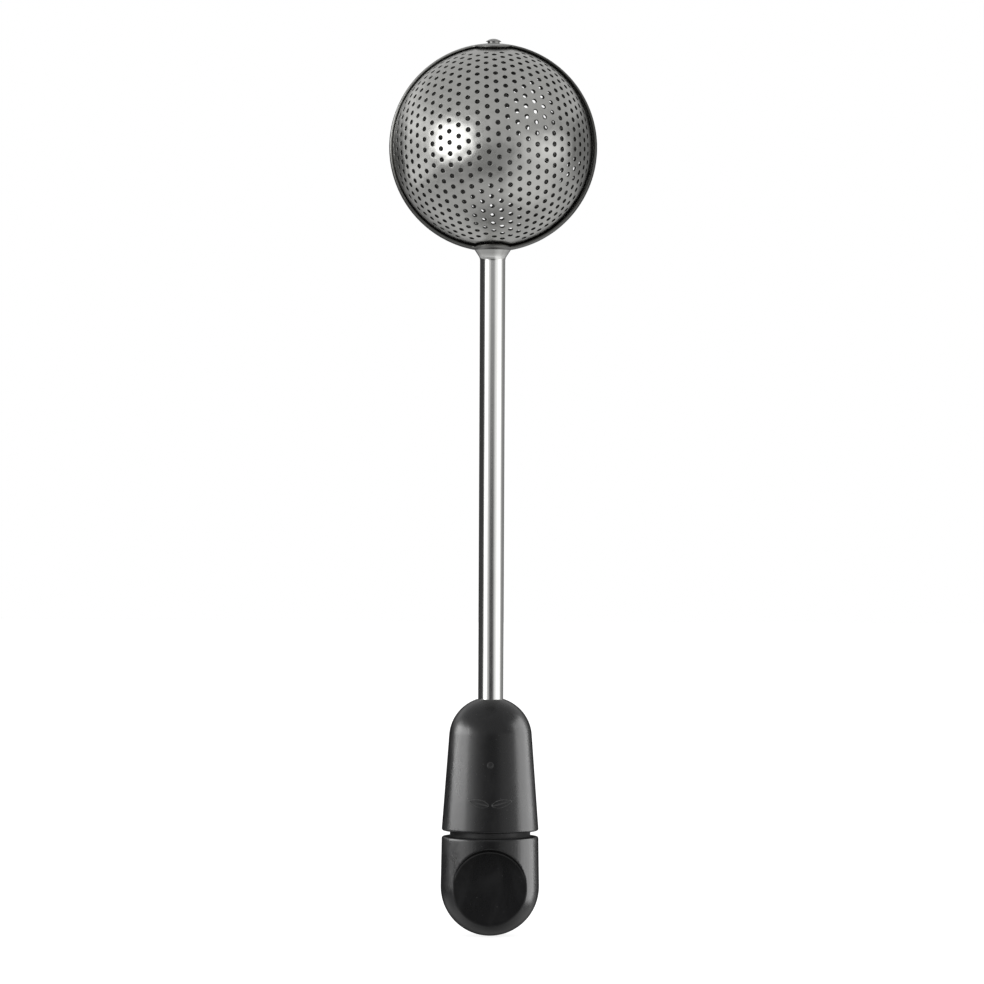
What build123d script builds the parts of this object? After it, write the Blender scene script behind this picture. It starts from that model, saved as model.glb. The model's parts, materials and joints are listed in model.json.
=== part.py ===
from build123d import *
import os
from math import atan2, cos, degrees, hypot, radians, sin, sqrt

# Twisting tea-ball infuser.  +Z runs from the twist knob up to the tea ball, -Y is the front, and
# the origin is the knob's lowest point on the twist axis.  All sizes are in millimetres.
# The knob, its drive rod and the front (inner) half of the ball turn together about the Z axis.
# Everything else stays with the grip.

# ---- tea ball -------------------------------------------------------------------------------
ball_z = 197.0                # height of the ball's centre
outer_shell_r = 26.0          # outside radius of the back (outer) half
sheet = 0.5                   # thickness of the stainless sheet
nesting_gap = 0.35            # play between the two halves
inner_shell_r = outer_shell_r - sheet - nesting_gap
outer_rim_lap = 4.0           # each half reaches past the ball's middle plane by its lap
inner_rim_lap = 3.6
tongue_half_width = 4.8       # pivot tongue on each half, at both poles
tongue_reach = 7.6            # from the twist axis to the tongue's tip
tongue_root_fillet = 1.0

# ---- perforations ---------------------------------------------------------------------------
hole_d = 1.2
hole_pitch = 6.53             # degrees of arc between neighbouring holes
hole_field = 76.0             # holes stop this many degrees from the middle of each half
pole_clear = 22.5             # plain area around each pole, degrees
front_lean = 2.85             # the front pattern leans and sits off centre, degrees
front_shift = (-1.95, 0.32)
back_lean = 7.0               # and so does the back one, seen from the front
back_shift = (0.3, -0.95)

# ---- pivots at the two poles ----------------------------------------------------------------
running = 0.05                # radial play of a turning joint
seat = 0.02                   # play between parts that are fixed together
collar_r = 2.15               # the drive rod's collar turns in the outer half's lower pole
rivet_shank_r = 1.0
head_r, head_z, head_height = 1.95, 223.5, 0.7      # domed head at the tip
tail_r, tail_z, tail_height = 1.7, 221.16, 0.6        # peened tail inside the ball
neck_outer_r = 1.5
spacer_r = 3.8
tenon_flats = 2.4             # the rod's tenon is a double-D so that it turns the inner half
peen_r, peen_height = 2.1, 0.7  # the tenon's peened head inside the ball

# ---- stem -----------------------------------------------------------------------------------
tube_r = 3.15
tube_wall = 0.5
flare_r = 4.5                 # the tube opens to this radius where it is welded to the ball
flare_start_z = 169.3         # where the cone would leave the straight tube without its bend
flare_bend_r = 2.0
rod_r = 1.6
bush_r = tube_r - tube_wall - seat
upper_bush_z = (156.0, flare_start_z - 0.1)
upper_bush_lip = (169.95, 3.0)  # height and radius of the cone that rests in the flare

# ---- grip -----------------------------------------------------------------------------------
grip_bottom_z = 26.3
grip_base_r = 12.12
grip_base_fillet = 0.5
dome_z = 49.6                 # centre of the grip's elliptical dome
dome_r = 10.35
dome_height = 10.1
dome_join = 4.2               # degrees up the ellipse where the cone below takes over
skin = 1.6                    # thickness of the soft skins
end_plate_r = 10.3
end_plate_t = 2.6
end_plate_z = grip_bottom_z + end_plate_t
tube_flange_r = 4.6
tube_flange_flat = 3.9        # two flats keep the tube from turning in the grip
bush_flange_r = 4.2
bush_flange_t = 0.6
lower_bush_top_z = 37.0

# ---- knob -----------------------------------------------------------------------------------
knob_r = 12.3
knob_top_r = 12.1
knob_top_z = 24.9
knob_top_fillet = 0.45
neck_r = 10.05                # ring seen in the gap between knob and grip
neck_play = 0.12
pad_r = 9.2
pad_draft = 11.0              # degrees
pad_y = sqrt(knob_r ** 2 - pad_r ** 2)   # the pad's rim is where its plane meets the round end
pad_skin = 1.2
pocket_r = 6.2                # pocket for the friction washers
pocket_depth = 1.75
rod_foot_z = 15.5
pin_r = 0.6
pin_z = 22.3
pin_half_length = 8.0

# ---- end stops: a lug on the knob runs in a groove of the grip's end plate --------------------
twist_range = 180.0
lug_angle = 20.0
lug_mid_r = 8.3
lug_width = 1.6
lug_top_z = grip_bottom_z + 1.5
groove_depth = 1.7
stop_play = 0.4               # degrees left free at each end of the groove
stop_start = -90.0            # where the lug's middle stands when the ball is closed


def half_ball(radius, facing, lap, lean, shift, lower_hole_r, lower_hole_flats, upper_hole_r):
    """One perforated half of the ball; facing is -1 for the front half and +1 for the back half."""
    with BuildPart() as half:
        with BuildSketch(Plane.XZ):
            with BuildLine():
                CenterArc((0, ball_z), radius, -90, 180)
                CenterArc((0, ball_z), radius - sheet, -90, 180)
                Line((0, ball_z - radius), (0, ball_z - radius + sheet))
                Line((0, ball_z + radius - sheet), (0, ball_z + radius))
            make_face()
        revolve(axis=Axis.Z)
        with BuildSketch(Plane.XY.offset(ball_z - radius - 1)) as away:
            with Locations((0, -facing * (lap + radius))):
                Rectangle(4 * radius, 2 * radius)
            with Locations((0, -facing * (tongue_reach - tongue_half_width))):
                Circle(tongue_half_width, mode=Mode.SUBTRACT)
            roots = away.vertices().filter_by(
                lambda v: abs(v.Y + facing * lap) < 0.01 and abs(v.X) < 2 * tongue_half_width)
            fillet(roots, tongue_root_fillet)
        extrude(amount=2 * radius + 2, mode=Mode.SUBTRACT)
        with BuildSketch(Plane.XY.offset(ball_z - radius - 1)):
            Circle(lower_hole_r)
            Rectangle(2 * lower_hole_r, lower_hole_flats, mode=Mode.INTERSECT)
        extrude(amount=radius, mode=Mode.SUBTRACT)
        with BuildSketch(Plane.XY.offset(ball_z)):
            Circle(upper_hole_r)
        extrude(amount=radius + 1, mode=Mode.SUBTRACT)
        with Locations(*hole_places(radius, facing, lean, shift)):
            Hole(hole_d / 2, depth=3 * sheet)
    return half


def hole_places(radius, facing, lean, shift):
    """Planes just outside the half, one per hole, on a hexagonal pattern wrapped over the sphere."""
    places = []
    column_step = hole_pitch * sqrt(3) / 2
    reach = int(hole_field / column_step) + 2
    for column in range(-reach, reach + 1):
        for row in range(-reach, reach + 1):
            across = column * column_step
            up = (row + (column % 2) / 2) * hole_pitch
            u = across * cos(radians(lean)) - up * sin(radians(lean)) + shift[0]
            v = across * sin(radians(lean)) + up * cos(radians(lean)) + shift[1]
            from_middle = radians(hypot(u, v))
            turn = atan2(v, u)
            out = Vector(sin(from_middle) * cos(turn), facing * cos(from_middle),
                         sin(from_middle) * sin(turn))
            near_pole = 90 - degrees(atan2(abs(out.Z), hypot(out.X, out.Y))) < pole_clear
            if from_middle > radians(hole_field) or near_pole:
                continue
            centre = Vector(0, 0, ball_z) + out * (radius + sheet)
            places.append(Plane(origin=centre, z_dir=out))
    return places


def pole_spacer(bore_r, pole):
    """Thin dished washer that keeps the two halves apart at a pole; pole is -1 or +1."""
    with BuildPart() as spacer:
        with BuildSketch(Plane.XZ):
            with Locations((0, ball_z)):
                Circle(outer_shell_r - sheet - seat)
                Circle(inner_shell_r + seat, mode=Mode.SUBTRACT)
            with Locations(((bore_r + spacer_r) / 2, ball_z + pole * outer_shell_r)):
                Rectangle(spacer_r - bore_r, 4, mode=Mode.INTERSECT)
        revolve(axis=Axis.Z)
    return spacer


def cap_points(foot_r, foot_z, height):
    """Three points of a spherical cap's arc, from its foot to its top on the Z axis."""
    sphere_r = (foot_r ** 2 + height ** 2) / (2 * abs(height))
    centre_z = foot_z + height - sphere_r * height / abs(height)
    half_way = atan2(foot_r, abs(foot_z - centre_z)) / 2
    middle = (sphere_r * sin(half_way), centre_z + sphere_r * cos(half_way) * height / abs(height))
    return (foot_r, foot_z), middle, (0, foot_z + height)


def grip_outline(inset, bottom_z, bore_r):
    """Half section of the grip, drawn inset from its outer surface, down to bottom_z."""
    join_r = (dome_r - inset) * cos(radians(dome_join))
    join_z = dome_z + (dome_height - inset) * sin(radians(dome_join))
    slope = (grip_base_r - dome_r * cos(radians(dome_join))) / (join_z - grip_bottom_z)
    bottom_r = join_r + slope * (join_z - bottom_z)
    top = degrees(atan2(sqrt(1 - (bore_r / (dome_r - inset)) ** 2), bore_r / (dome_r - inset)))
    top_z = dome_z + (dome_height - inset) * sin(radians(top))
    with BuildLine() as outline:
        EllipticalCenterArc((0, dome_z), dome_r - inset, dome_height - inset,
                            start_angle=dome_join, arc_size=top - dome_join)
        Line((join_r, join_z), (bottom_r, bottom_z))
        Polyline((bottom_r, bottom_z), (bore_r, bottom_z), (bore_r, top_z))
    return outline


def knob_blank(inset, top_z):
    """Round-ended knob body, inset from the knob's outer surface, before its pads are cut."""
    body_r = knob_r - inset
    slope = (knob_r - knob_top_r) / (knob_top_z - knob_r)
    with BuildPart() as blank:
        with BuildSketch(Plane.XZ):
            with BuildLine():
                CenterArc((0, knob_r), body_r, -90, 90)
                Polyline((body_r, knob_r), (body_r - slope * (top_z - knob_r), top_z), (0, top_z),
                         (0, knob_r - body_r))
            make_face()
        revolve(axis=Axis.Z)
    return blank


def pad_cutters(flat_y, radius):
    """Round, slightly drafted plugs that sink a thumb pad into the knob's front and back."""
    with BuildPart() as cutters:
        for side in (-1, 1):
            face = Plane(origin=(0, side * flat_y, knob_r), x_dir=(1, 0, 0), z_dir=(0, side, 0))
            with BuildSketch(face):
                Circle(radius)
            extrude(amount=knob_r, taper=-pad_draft)
    return cutters


# ---- tea ball -------------------------------------------------------------------------------
outer_shell = half_ball(outer_shell_r, 1, outer_rim_lap, back_lean, back_shift,
                        collar_r + running, 2 * (collar_r + running), rivet_shank_r + seat)
inner_shell = half_ball(inner_shell_r, -1, inner_rim_lap, front_lean, front_shift,
                        rod_r + seat, tenon_flats + 2 * seat, rivet_shank_r + running)

hub_spacer = pole_spacer(collar_r + running, -1)
tip_spacer = pole_spacer(rivet_shank_r + running, 1)

# The tip rivet is the second pivot: domed head and short neck outside, peened tail inside.
neck_foot_z = ball_z + outer_shell_r + seat
with BuildPart() as tip_rivet:
    with BuildSketch(Plane.XZ):
        with BuildLine():
            Line((0, tail_z - tail_height), (0, head_z + head_height))
            ThreePointArc(*cap_points(head_r, head_z, head_height))
            Polyline((head_r, head_z), (neck_outer_r, head_z), (neck_outer_r, neck_foot_z),
                     (rivet_shank_r, neck_foot_z), (rivet_shank_r, tail_z), (tail_r, tail_z))
            ThreePointArc(*cap_points(tail_r, tail_z, -tail_height))
        make_face()
    revolve(axis=Axis.Z)

with BuildPart() as rivet_washer:
    with BuildSketch(Plane.XY.offset(tail_z + seat)):
        Circle(2.6)
        Circle(rivet_shank_r + seat, mode=Mode.SUBTRACT)
    extrude(amount=0.3)

# ---- stem -----------------------------------------------------------------------------------
flare_top_z = ball_z - sqrt((outer_shell_r + seat) ** 2 - flare_r ** 2)
flare_mouth_z = ball_z - sqrt((outer_shell_r + seat) ** 2 - (flare_r - tube_wall) ** 2)
tube_foot_z = end_plate_z + seat
with BuildPart() as stem_tube:
    with BuildSketch(Plane.XZ) as tube_wall_section:
        with BuildLine():
            Polyline((tube_r, tube_foot_z + tube_wall), (tube_r, flare_start_z),
                     (flare_r, flare_top_z), (flare_r - tube_wall, flare_mouth_z),
                     (tube_r - tube_wall, flare_start_z), (tube_r - tube_wall, tube_foot_z),
                     (tube_flange_r, tube_foot_z), (tube_flange_r, tube_foot_z + tube_wall),
                     close=True)
        make_face()
        bends = tube_wall_section.vertices().filter_by(lambda v: abs(v.Y - flare_start_z) < 0.01)
        fillet(bends, flare_bend_r)
    revolve(axis=Axis.Z)
    with BuildSketch(Plane.XY.offset(tube_foot_z - seat)):
        Rectangle(4 * tube_flange_r, 4 * tube_flange_r)
        Rectangle(2 * tube_flange_flat, 4 * tube_flange_r, mode=Mode.SUBTRACT)
    extrude(amount=tube_wall + 2 * seat, mode=Mode.SUBTRACT)

with BuildPart() as upper_bush:
    with BuildSketch(Plane.XZ):
        with BuildLine():
            Polyline((rod_r + running, upper_bush_z[0]), (bush_r, upper_bush_z[0]),
                     (bush_r, upper_bush_z[1]), (upper_bush_lip[1], upper_bush_lip[0]),
                     (rod_r + running, upper_bush_lip[0]), close=True)
        make_face()
    revolve(axis=Axis.Z)
    chamfer(upper_bush.edges().group_by(Axis.Z)[0], 0.2)

with BuildPart() as lower_bush:
    with BuildSketch(Plane.XY.offset(end_plate_z - bush_flange_t + seat)):
        Circle(bush_flange_r)
    extrude(amount=bush_flange_t - seat)
    with BuildSketch(Plane.XY.offset(end_plate_z)):
        Circle(bush_r)
    extrude(amount=lower_bush_top_z - end_plate_z)
    with BuildSketch(Plane.XY.offset(grip_bottom_z)):
        Circle(rod_r + running)
    extrude(amount=lower_bush_top_z - grip_bottom_z + 1, mode=Mode.SUBTRACT)
    chamfer(lower_bush.edges().filter_by(GeomType.CIRCLE).group_by(Axis.Z)[-1].sort_by(
        SortBy.RADIUS)[-1], 0.3)

# The drive rod ends in a collar, a double-D tenon and a peened head that grips the inner half.
collar_foot_z = 170.9
shoulder_z = ball_z - inner_shell_r - seat
peen_z = ball_z - sqrt((inner_shell_r - sheet) ** 2 - peen_r ** 2) + seat
with BuildPart() as drive_rod:
    with BuildSketch(Plane.XY.offset(rod_foot_z)):
        Circle(rod_r)
    extrude(amount=peen_z - rod_foot_z)
    chamfer(drive_rod.edges().group_by(Axis.Z)[0], 0.3)
    with BuildSketch(Plane.XY.offset(collar_foot_z)):
        Circle(collar_r)
    extrude(amount=shoulder_z - collar_foot_z)
    with BuildSketch(Plane.XY.offset(shoulder_z)):
        Circle(2 * rod_r)
        Rectangle(4 * rod_r, tenon_flats, mode=Mode.SUBTRACT)
    extrude(amount=peen_z - shoulder_z, mode=Mode.SUBTRACT)
    with BuildSketch(Plane.XZ):
        with BuildLine():
            Polyline((0, peen_z + peen_height), (0, peen_z), (peen_r, peen_z))
            ThreePointArc(*cap_points(peen_r, peen_z, peen_height))
        make_face()
    revolve(axis=Axis.Z)
    with BuildSketch(Plane.YZ.offset(-rod_r - 1)):
        with Locations((0, pin_z)):
            Circle(pin_r + seat)
    extrude(amount=2 * rod_r + 2, mode=Mode.SUBTRACT)

# ---- grip -----------------------------------------------------------------------------------
with BuildPart() as grip_core:
    with BuildSketch(Plane.XZ):
        add(grip_outline(skin + seat, end_plate_z + seat, tube_r + seat).line)
        make_face()
    revolve(axis=Axis.Z)
    with BuildSketch(Plane.XY.offset(end_plate_z)):
        Circle(tube_flange_r + seat)
        Rectangle(2 * (tube_flange_flat + seat), 4 * tube_flange_r, mode=Mode.INTERSECT)
    extrude(amount=tube_wall + 2 * seat, mode=Mode.SUBTRACT)
    with BuildSketch(Plane.XY.offset(end_plate_z)):
        with PolarLocations(7.2, 6, start_angle=30):
            SlotOverall(3.6, 2.4, rotation=90)
    extrude(amount=18, mode=Mode.SUBTRACT)

with BuildPart() as grip_end_plate:
    with BuildSketch(Plane.XY.offset(grip_bottom_z)):
        Circle(end_plate_r)
        Circle(rod_r + 0.3, mode=Mode.SUBTRACT)
    extrude(amount=end_plate_t)
    with BuildSketch(Plane.XY.offset(end_plate_z - bush_flange_t)):
        Circle(bush_flange_r + seat)
    extrude(amount=bush_flange_t, mode=Mode.SUBTRACT)
    half_sweep = lug_angle / 2 + stop_play
    with BuildSketch(Plane.XY.offset(grip_bottom_z)) as groove:
        with BuildLine():
            first, sweep = stop_start - half_sweep, twist_range + 2 * half_sweep
            inner_arc = CenterArc((0, 0), lug_mid_r - lug_width / 2 - 0.1, first, sweep)
            outer_arc = CenterArc((0, 0), lug_mid_r + lug_width / 2 + 0.1, first, sweep)
            Line(inner_arc @ 0, outer_arc @ 0)
            Line(inner_arc @ 1, outer_arc @ 1)
        make_face()
    extrude(amount=groove_depth, mode=Mode.SUBTRACT)

with BuildPart() as grip_sleeve:
    with BuildSketch(Plane.XZ):
        add(grip_outline(0, grip_bottom_z, tube_r + running).line)
        make_face()
    revolve(axis=Axis.Z)
    fillet(grip_sleeve.edges().group_by(Axis.Z)[0].sort_by(SortBy.RADIUS)[-1], grip_base_fillet)
    with BuildSketch(Plane.XZ):
        add(grip_outline(skin, end_plate_z, tube_r).line)
        make_face()
    revolve(axis=Axis.Z, mode=Mode.SUBTRACT)
    with BuildSketch(Plane.XY.offset(grip_bottom_z)):
        Circle(end_plate_r + seat)
    extrude(amount=end_plate_t, mode=Mode.SUBTRACT)

# ---- knob -----------------------------------------------------------------------------------
with BuildPart() as knob_core:
    add(knob_blank(skin + seat, knob_top_z).part)
    add(pad_cutters(pad_y - pad_skin - seat, pad_r + 1).part, mode=Mode.SUBTRACT)
    with BuildSketch(Plane.XY.offset(knob_top_z)):
        Circle(neck_r)
    extrude(amount=grip_bottom_z - neck_play - knob_top_z)
    with BuildSketch(Plane.XY.offset(grip_bottom_z - neck_play - pocket_depth)):
        Circle(pocket_r)
    extrude(amount=pocket_depth, mode=Mode.SUBTRACT)
    with BuildSketch(Plane.XY.offset(rod_foot_z - 0.5)):
        Circle(rod_r + seat)
    extrude(amount=grip_bottom_z - rod_foot_z, mode=Mode.SUBTRACT)
    with BuildSketch(Plane.YZ.offset(-knob_r)):
        with Locations((0, pin_z)):
            Circle(pin_r + seat)
    extrude(amount=2 * knob_r, mode=Mode.SUBTRACT)
    with BuildSketch(Plane.XY.offset(knob_top_z)):
        with BuildLine():
            first = stop_start - lug_angle / 2
            inner_arc = CenterArc((0, 0), lug_mid_r - lug_width / 2, first, lug_angle)
            outer_arc = CenterArc((0, 0), lug_mid_r + lug_width / 2, first, lug_angle)
            Line(inner_arc @ 0, outer_arc @ 0)
            Line(inner_arc @ 1, outer_arc @ 1)
        make_face()
    extrude(amount=lug_top_z - knob_top_z)

with BuildPart() as core_room:
    add(knob_blank(skin, knob_top_z + 1).part)
    add(pad_cutters(pad_y - pad_skin, pad_r + 1).part, mode=Mode.SUBTRACT)

with BuildPart() as knob_sleeve:
    add(knob_blank(0, knob_top_z).part)
    fillet(knob_sleeve.edges().filter_by(GeomType.CIRCLE).sort_by(Axis.Z)[-1], knob_top_fillet)
    add(pad_cutters(pad_y, pad_r).part, mode=Mode.SUBTRACT)
    add(core_room.part, mode=Mode.SUBTRACT)

with BuildPart() as knob_pin:
    with BuildSketch(Plane.YZ.offset(-pin_half_length)):
        with Locations((0, pin_z)):
            Circle(pin_r)
    extrude(amount=2 * pin_half_length)
    chamfer(knob_pin.edges().filter_by(GeomType.CIRCLE), 0.15)

# Friction stack in the knob's pocket: a dished spring washer pushes an acetal ring on the grip.
washer_t = 0.5
washer_top_z = grip_bottom_z - 0.02
with BuildPart() as thrust_washer:
    with BuildSketch(Plane.XY.offset(washer_top_z - washer_t)):
        Circle(pocket_r - 0.2)
        Circle(rod_r + 0.5, mode=Mode.SUBTRACT)
    extrude(amount=washer_t)

spring_t = 0.3
spring_foot_z = grip_bottom_z - neck_play - pocket_depth + seat
spring_top_z = washer_top_z - washer_t - seat
with BuildPart() as spring_washer:
    with BuildSketch(Plane.XZ):
        with BuildLine():
            Polyline((pocket_r - 0.4, spring_foot_z), (pocket_r - 0.4, spring_foot_z + spring_t),
                     (rod_r + 0.8, spring_top_z), (rod_r + 0.8, spring_top_z - spring_t),
                     close=True)
        make_face()
    revolve(axis=Axis.Z)

# ---- write one file per piece -----------------------------------------------------------------
pieces = {
    "outer_shell": outer_shell, "inner_shell": inner_shell, "hub_spacer": hub_spacer,
    "tip_spacer": tip_spacer, "tip_rivet": tip_rivet, "rivet_washer": rivet_washer,
    "stem_tube": stem_tube, "upper_bush": upper_bush, "lower_bush": lower_bush,
    "drive_rod": drive_rod, "grip_core": grip_core, "grip_end_plate": grip_end_plate,
    "grip_sleeve": grip_sleeve, "knob_core": knob_core, "knob_sleeve": knob_sleeve,
    "knob_pin": knob_pin, "thrust_washer": thrust_washer, "spring_washer": spring_washer,
}
os.makedirs("parts", exist_ok=True)
for label, piece in pieces.items():
    piece.part.label = label
    export_step(piece.part, f"parts/{label}.step", write_pcurves=False)
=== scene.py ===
"""Looks of a twisting tea-ball infuser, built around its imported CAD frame.

Metres, +Z up, -Y is the front. Sizes written as n * MM are millimetres.
"""
import json
from math import acos, asin, atan2, cos, pi, radians, sin, sqrt, tan

import bpy
import numpy as np
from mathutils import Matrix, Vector
from mathutils.geometry import delaunay_2d_cdt


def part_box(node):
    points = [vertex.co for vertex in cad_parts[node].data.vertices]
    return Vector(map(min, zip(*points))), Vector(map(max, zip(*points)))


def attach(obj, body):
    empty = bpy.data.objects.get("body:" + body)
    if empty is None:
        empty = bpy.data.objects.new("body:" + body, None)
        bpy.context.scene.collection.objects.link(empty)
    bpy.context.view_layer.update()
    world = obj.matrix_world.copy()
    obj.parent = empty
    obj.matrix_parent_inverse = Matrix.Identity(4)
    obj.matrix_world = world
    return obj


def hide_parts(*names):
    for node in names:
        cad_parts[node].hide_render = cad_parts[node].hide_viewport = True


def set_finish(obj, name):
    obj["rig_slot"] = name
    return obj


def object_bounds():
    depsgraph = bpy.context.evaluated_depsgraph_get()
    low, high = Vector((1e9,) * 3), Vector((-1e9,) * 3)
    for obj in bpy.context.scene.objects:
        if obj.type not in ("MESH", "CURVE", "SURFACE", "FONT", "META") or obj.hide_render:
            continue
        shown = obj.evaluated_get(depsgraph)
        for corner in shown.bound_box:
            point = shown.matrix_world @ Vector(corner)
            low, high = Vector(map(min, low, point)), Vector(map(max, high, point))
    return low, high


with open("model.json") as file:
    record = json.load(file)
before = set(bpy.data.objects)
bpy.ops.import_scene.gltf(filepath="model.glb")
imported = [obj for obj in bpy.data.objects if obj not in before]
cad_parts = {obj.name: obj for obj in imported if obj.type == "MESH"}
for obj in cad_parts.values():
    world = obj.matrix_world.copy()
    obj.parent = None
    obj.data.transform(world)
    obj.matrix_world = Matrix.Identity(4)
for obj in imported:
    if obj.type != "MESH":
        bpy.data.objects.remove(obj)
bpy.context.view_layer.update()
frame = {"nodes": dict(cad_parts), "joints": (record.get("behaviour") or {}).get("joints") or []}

MM = 0.001

# ---- sizes read from the frame ----------------------------------------------------------------
ball_z = frame["joints"][0]["pos_m"][2]
outer_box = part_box("outer_shell")
inner_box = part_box("inner_shell")
outer_r = outer_box[1].x
inner_r = -inner_box[0].x
outer_reach = -outer_box[0].y          # from the twist axis to the tongue's tip
inner_reach = inner_box[1].y
grip_foot_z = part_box("grip_sleeve")[0].z

# ---- tea ball ---------------------------------------------------------------------------------
sheet = 0.5 * MM
outer_rim_lap = 4.0 * MM               # each half reaches past the ball's middle plane by its lap
inner_rim_lap = 3.6 * MM
front_play = -0.26 * MM                # the front half leans to the left within its play
tongue_half_width = 4.8 * MM
tongue_root_fillet = 1.0 * MM
rim_round = 0.22 * MM                  # softened edges of the sheet
hole_r = 0.6 * MM
hole_roll = 0.07 * MM                  # the punch rolls the outside edge of each hole
hole_dish = 0.36 * MM                  # and draws down the sheet this far round it
hole_dish_depth = 0.014 * MM
burr_round = 0.04 * MM
hole_pitch = 6.53                      # degrees of arc between neighbouring holes
hole_field = 76.0                      # degrees from the middle of each half
pole_clear = 22.5                      # plain area round each pole, degrees
front_lean = 2.85                      # the pattern leans and sits off centre, degrees
front_shift = (-1.95, 0.32)
back_lean = 7.0
back_shift = (0.3, -0.95)

# Mesh density of the halves.
hole_points = 18                       # round each hole
pole_hole_points = 48                  # round each pivot hole
rim_points = 70                        # on a quarter of the rim
fillet_points = 7                      # round a tongue's root
tip_points = 16                        # on a quarter of a tongue's tip
fill_pitch = hole_pitch / sqrt(3)      # between filler points, degrees
fill_reach = 112                       # the filler pattern covers this much of a half, degrees
fill_limit = 120                       # and nothing past this is kept
hole_margin = 0.35 * MM                # filler points stay this far off the dish of a hole
edge_margin = 0.8 * MM                 # and off any other cut edge

# Tilt of the surface across a cut edge, degrees: over its outside corner, then its inside one.
OUTER_TILTS = (0.0, 48.0, 90.0)
INNER_TILTS = (90.0, 135.0, 180.0)
dish_tilt = 3.5                        # tilt of the dish where a hole's corner starts


# ---- mesh helpers -----------------------------------------------------------------------------
def add_mesh(name, points, faces, normals=None):
    """A smooth-shaded mesh object; normals, where given, are one per vertex."""
    mesh = bpy.data.meshes.new(name)
    mesh.from_pydata([tuple(p) for p in points], [], [tuple(int(i) for i in f) for f in faces])
    mesh.polygons.foreach_set("use_smooth", [True] * len(mesh.polygons))
    if normals is not None:
        mesh.normals_split_custom_set_from_vertices([tuple(n) for n in normals])
    mesh.update()
    piece = bpy.data.objects.new(name, mesh)
    bpy.context.scene.collection.objects.link(piece)
    return piece


def unit(vectors):
    """Vectors scaled to length one, row by row."""
    return vectors / np.linalg.norm(vectors, axis=-1, keepdims=True)


def place(piece, body, slot, *nodes):
    """Rides a new piece on its body, in place of its CAD nodes."""
    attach(piece, body)
    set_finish(piece, slot)
    if nodes:
        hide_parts(*nodes)
    return piece


# ---- lathe work -------------------------------------------------------------------------------
def rounded(corners, steps=6):
    """Outline points (radius, height) from corners (radius, height, rounding)."""
    points = []
    count = len(corners)
    for i, (r, z, rounding) in enumerate(corners):
        here = np.array([r, z])
        if rounding == 0:
            points.append(here)
            continue
        before = unit(np.array(corners[i - 1][:2]) - here)
        after = unit(np.array(corners[(i + 1) % count][:2]) - here)
        half = acos(float(np.clip(before @ after, -1, 1))) / 2
        middle = here + unit(before + after) * rounding / sin(half)
        first = here + before * rounding / tan(half) - middle
        last = here + after * rounding / tan(half) - middle
        start = atan2(first[1], first[0])
        sweep = (atan2(last[1], last[0]) - start + pi) % (2 * pi) - pi
        for angle in np.linspace(start, start + sweep, steps + 1):
            points.append(middle + rounding * np.array([cos(angle), sin(angle)]))
    return np.array(points)


def outline_normals(points):
    """Outward normals of a closed outline drawn with its solid on the left."""
    ahead = np.roll(points, -1, axis=0) - points
    behind = np.roll(ahead, 1, axis=0)
    along = ahead + behind              # longer stretches weigh more, so flats stay flat
    return unit(np.stack([along[:, 1], -along[:, 0]], axis=1))


def lathe(outline, turns):
    """Points and normals of a closed (radius, height) outline at each of the turns about Z."""
    slopes = outline_normals(outline)
    count, around = len(outline), len(turns)
    swing = np.stack([np.sin(turns), -np.cos(turns)], axis=1)
    points = np.concatenate([outline[:, None, :1] * swing[None], np.broadcast_to(
        outline[:, None, 1:], (count, around, 1))], axis=2)
    normals = np.concatenate([slopes[:, None, :1] * swing[None], np.broadcast_to(
        slopes[:, None, 1:], (count, around, 1))], axis=2)
    return points, normals


def lathe_faces(count, around):
    """Quads of a closed outline turned all the way round."""
    k, j = np.meshgrid(np.arange(count), np.arange(around), indexing="ij")
    k_next, j_next = (k + 1) % count, (j + 1) % around
    quads = np.stack([k * around + j, k * around + j_next,
                      k_next * around + j_next, k_next * around + j], axis=-1)
    return quads.reshape(-1, 4)


# ---- perforated half-shells -------------------------------------------------------------------
def from_flat(u, v, facing):
    """Unit directions of points lying u, v degrees from a half's middle."""
    spread = np.radians(np.hypot(u, v))
    turn = np.arctan2(v, u)
    return np.stack([np.sin(spread) * np.cos(turn), facing * np.cos(spread),
                     np.sin(spread) * np.sin(turn)], axis=-1)


def to_flat(directions, facing):
    """The inverse of from_flat."""
    spread = np.degrees(np.arccos(np.clip(facing * directions[..., 1], -1, 1)))
    turn = np.arctan2(directions[..., 2], directions[..., 0])
    return np.stack([spread * np.cos(turn), spread * np.sin(turn)], axis=-1)


def lattice(pitch, reach, lean, shift, quarter_turn=False):
    """Points of a hexagonal pattern, in degrees, out to reach from its middle."""
    column_step = pitch * sqrt(3) / 2
    columns = int(reach / column_step) + 2
    rows = int(reach / pitch) + 2
    column, row = np.meshgrid(np.arange(-columns, columns + 1), np.arange(-rows, rows + 1))
    across = column * column_step
    up = (row + (column % 2) / 2) * pitch
    if quarter_turn:
        across, up = up, across
    tilt = radians(lean)
    u = across * cos(tilt) - up * sin(tilt) + shift[0]
    v = across * sin(tilt) + up * cos(tilt) + shift[1]
    return u.ravel(), v.ravel()


def hole_middles(facing, lean, shift):
    """Unit directions of the holes' middles."""
    u, v = lattice(hole_pitch, hole_field, lean, shift)
    directions = from_flat(u, v, facing)
    from_pole = np.degrees(np.arccos(np.abs(directions[:, 2])))
    return directions[(np.hypot(u, v) <= hole_field) & (from_pole >= pole_clear)]


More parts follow.
